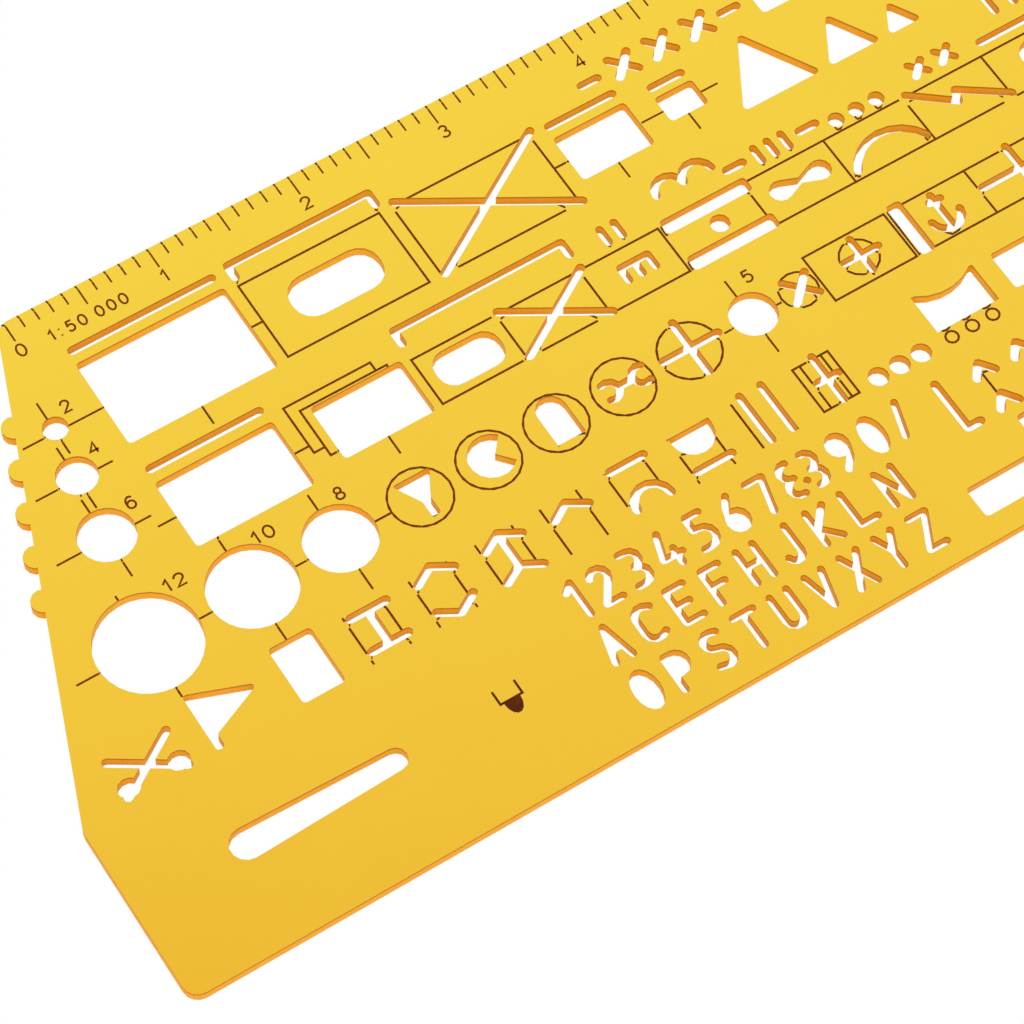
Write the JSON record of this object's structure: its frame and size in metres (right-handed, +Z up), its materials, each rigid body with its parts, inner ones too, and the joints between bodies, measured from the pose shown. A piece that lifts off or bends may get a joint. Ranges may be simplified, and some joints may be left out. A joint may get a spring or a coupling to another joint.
{
  "type": "map symbol stencil",
  "caption": "Flat clear amber drawing stencil with cut map symbols, numerals, round holes and windows, a printed frame around many of them, and a slanted end with round bumps.",
  "frame": {"origin": "under the middle of the sheet, on its printed underside", "axes": "+X runs along the scale edge towards the square-cut end, +Y points to the scale edge, +Z is up out of the face that the pen is used on"},
  "size_m": [0.1752, 0.0878, 0.0016],
  "materials": {
    "plate": "clear amber plastic, polished faces and rougher cut walls",
    "ink": "dark brown printing ink"
  },
  "bodies": {
    "root": {"plate": "plate", "print_anchor_cell_foot": "ink", "print_anchor_cell_top": "ink", "print_arch_cell": "ink", "print_bar_post": "ink", "print_beam_rail_left": "ink", "print_beam_rail_right": "ink", "print_bowl_rail_left": "ink", "print_bowl_rail_right": "ink", "print_box_left": "ink", "print_box_right": "ink", "print_cell_ring_left_foot": "ink", "print_cell_ring_left_top": "ink", "print_cell_ring_right_foot": "ink", "print_cell_ring_right_top": "ink", "print_chevron_stem": "ink", "print_comb_cell": "ink", "print_cross_cell_foot": "ink", "print_cross_cell_top": "ink", "print_cross_ring_left_foot": "ink", "print_cross_ring_left_top": "ink", "print_cross_ring_right_foot": "ink", "print_cross_ring_right_top": "ink", "print_gate_rail_left": "ink", "print_gate_rail_right": "ink", "print_hexagon_rail_left": "ink", "print_hexagon_rail_right": "ink", "print_lamp": "ink", "print_large_cross_foot": "ink", "print_large_cross_left": "ink", "print_large_cross_right": "ink", "print_large_cross_top": "ink", "print_last_cell": "ink", "print_oval_cell": "ink", "print_pylon_rail_left": "ink", "print_pylon_rail_right": "ink", "print_ring_1": "ink", "print_ring_2": "ink", "print_ring_3": "ink", "print_ring_4": "ink", "print_ring_cell": "ink", "print_roof_rail_left": "ink", "print_roof_rail_left_top": "ink", "print_roof_rail_right": "ink", "print_roof_rail_right_top": "ink", "print_saltire_ring_left_foot": "ink", "print_saltire_ring_left_top": "ink", "print_saltire_ring_right_foot": "ink", "print_saltire_ring_right_top": "ink", "print_shelter_rail_left": "ink", "print_shelter_rail_right": "ink", "print_small_circle_1": "ink", "print_small_circle_2": "ink", "print_small_circle_3": "ink", "print_small_cross_foot": "ink", "print_small_cross_left": "ink", "print_small_cross_right": "ink", "print_small_cross_top": "ink", "print_stacked_frames": "ink", "print_stadium_frame": "ink"}
  },
  "joints": []
}
